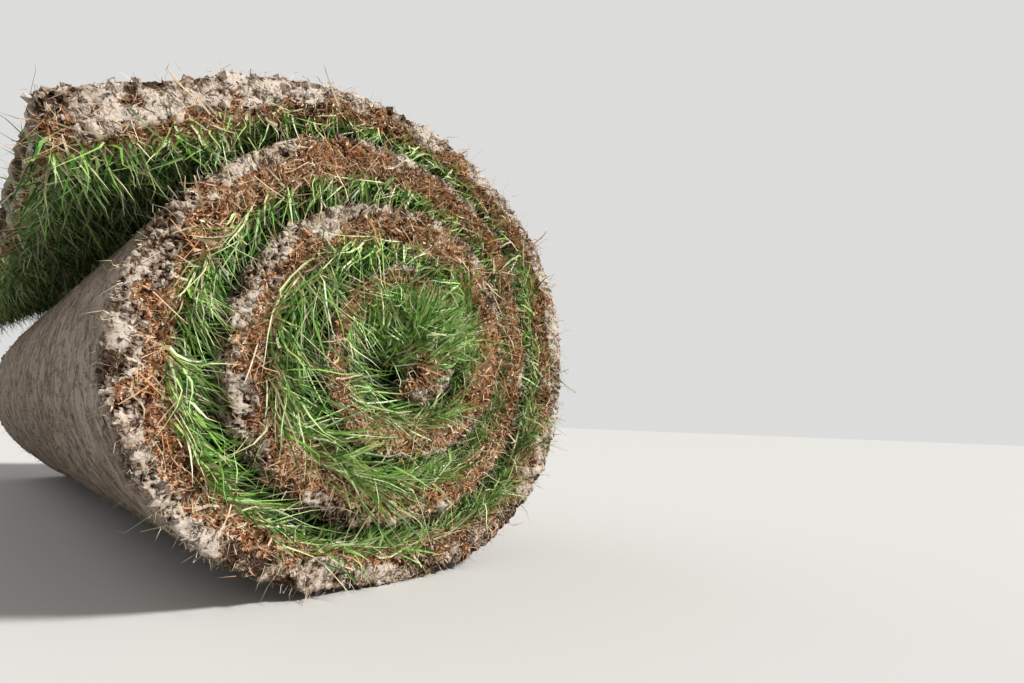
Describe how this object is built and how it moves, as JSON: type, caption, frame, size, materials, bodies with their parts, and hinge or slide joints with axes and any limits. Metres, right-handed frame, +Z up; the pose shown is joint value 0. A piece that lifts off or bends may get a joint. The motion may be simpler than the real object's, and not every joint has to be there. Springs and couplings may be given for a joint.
{
  "type": "turf roll",
  "caption": "Strip of grass turf wound up grass side in and laid on its side, its turns of soil and pressed grass showing on both cut ends and its outer end standing off as a flap.",
  "frame": {"origin": "bottom centre of the roll's box, on the floor it lies on", "axes": "+Y runs along the roll's axis towards the back end, +X points right as the front end is seen, away from the flap, and +Z is up"},
  "size_m": [0.277, 0.61, 0.2355],
  "materials": {
    "soil": "dry matte soil"
  },
  "bodies": {
    "root": {"turf_roll": "soil"}
  },
  "joints": []
}
